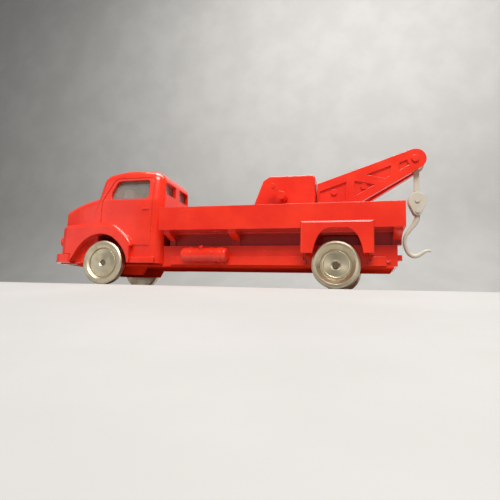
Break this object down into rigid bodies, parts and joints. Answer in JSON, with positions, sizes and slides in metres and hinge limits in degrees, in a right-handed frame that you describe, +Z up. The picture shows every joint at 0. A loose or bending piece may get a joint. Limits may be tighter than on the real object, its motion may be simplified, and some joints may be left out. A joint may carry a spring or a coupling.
{
  "type": "toy tow truck",
  "caption": "Toy tow truck with bonneted cab, open load bed, winch housing with crank, lattice jib and a swinging hook on free-rolling metal wheels.",
  "frame": {"origin": "on the floor below the middle of the whole truck's box", "axes": "+X to the tail, where the hook hangs; -Y is the truck's left side, with the crank; +Z up"},
  "size_m": [0.0966, 0.0266, 0.034],
  "materials": {
    "red_plastic": "glossy moulded",
    "clear_glazing": "clear moulded plastic",
    "hoist_plastic": "satin moulded",
    "wheel_metal": "turned, warm nickel",
    "axle_steel": "drawn wire"
  },
  "bodies": {
    "truck": {"cab_shell": "red_plastic", "cab_glazing": "clear_glazing", "front_bumper": "red_plastic", "chassis_frame": "red_plastic", "base_plate": "red_plastic", "rear_coupling": "red_plastic", "load_bed": "red_plastic", "air_tank": "red_plastic", "mudguard_left": "red_plastic", "mudguard_right": "red_plastic", "winch_housing": "red_plastic", "jib_left": "red_plastic", "jib_right": "red_plastic", "jib_web": "red_plastic", "jib_rivets": "red_plastic", "sheave_pin": "red_plastic"},
    "crank": {"winch_crank": "red_plastic", "crank_collar": "red_plastic"},
    "hoist": {"hoist_link": "hoist_plastic", "block_cheek_left": "hoist_plastic", "block_cheek_right": "hoist_plastic", "block_pins": "hoist_plastic"},
    "hook": {"tow_hook": "hoist_plastic"},
    "front_wheels": {"front_axle": "axle_steel", "front_left_wheel": "wheel_metal", "front_right_wheel": "wheel_metal"},
    "rear_wheels": {"rear_axle": "axle_steel", "rear_left_wheel": "wheel_metal", "rear_right_wheel": "wheel_metal"}
  },
  "joints": [
    {"name": "front_axle_spin", "type": "hinge", "parent": "truck", "child": "front_wheels", "pos_m": [-0.03138, 0, 0.00555], "axis": [0, 1, 0], "continuous": true},
    {"name": "rear_axle_spin", "type": "hinge", "parent": "truck", "child": "rear_wheels", "pos_m": [0.02703, 0, 0.00535], "axis": [0, 1, 0], "continuous": true},
    {"name": "crank_turn", "type": "hinge", "parent": "truck", "child": "crank", "pos_m": [0.01452, 0, 0.0215], "axis": [0, 1, 0], "continuous": true},
    {"name": "hoist_swing", "type": "hinge", "parent": "truck", "child": "hoist", "pos_m": [0.04482, 0, 0.03155], "axis": [0, 1, 0], "range_deg": [-70, 0]},
    {"name": "hook_swivel", "type": "hinge", "parent": "hoist", "child": "hook", "pos_m": [0.04528, 0, 0.0192], "axis": [0, 1, 0], "range_deg": [-25, 0]}
  ]
}
